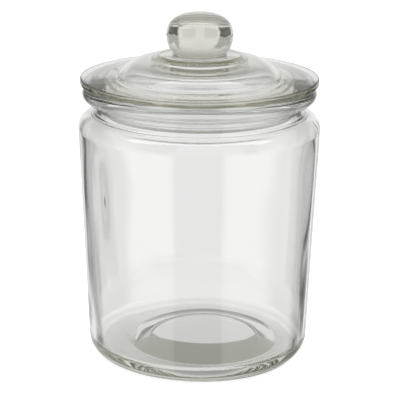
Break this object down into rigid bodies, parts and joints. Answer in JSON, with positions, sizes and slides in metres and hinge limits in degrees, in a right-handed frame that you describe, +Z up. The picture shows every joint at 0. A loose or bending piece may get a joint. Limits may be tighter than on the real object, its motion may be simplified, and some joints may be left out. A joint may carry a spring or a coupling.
{
  "type": "lidded glass canister",
  "caption": "Round glass storage jar with a tapered body, a beaded lip, a domed glass lid with a solid knob, and a clear finned sealing ring.",
  "frame": {"origin": "centre of the ring that the jar stands on", "axes": "+Z up along the jar's axis of revolution, from the base to the knob"},
  "size_m": [0.14, 0.14, 0.2029],
  "materials": {
    "jar_glass": "clear, fire-polished",
    "lid_glass": "clear, pressed, faint olive tint in the thick parts",
    "seal_plastic": "clear flexible plastic, slightly milky"
  },
  "bodies": {
    "jar": {"glass_jar": "jar_glass"},
    "seal": {"seal_ring": "seal_plastic"},
    "lid": {"glass_lid": "lid_glass"}
  },
  "joints": [
    {"name": "lid_lift", "type": "slide", "parent": "jar", "child": "seal", "axis": [0, 0, 1], "range_m": [0, 0.06]},
    {"name": "lid_turn", "type": "hinge", "parent": "seal", "child": "lid", "pos_m": [0, 0, 0.165], "axis": [0, 0, 1], "continuous": true}
  ]
}
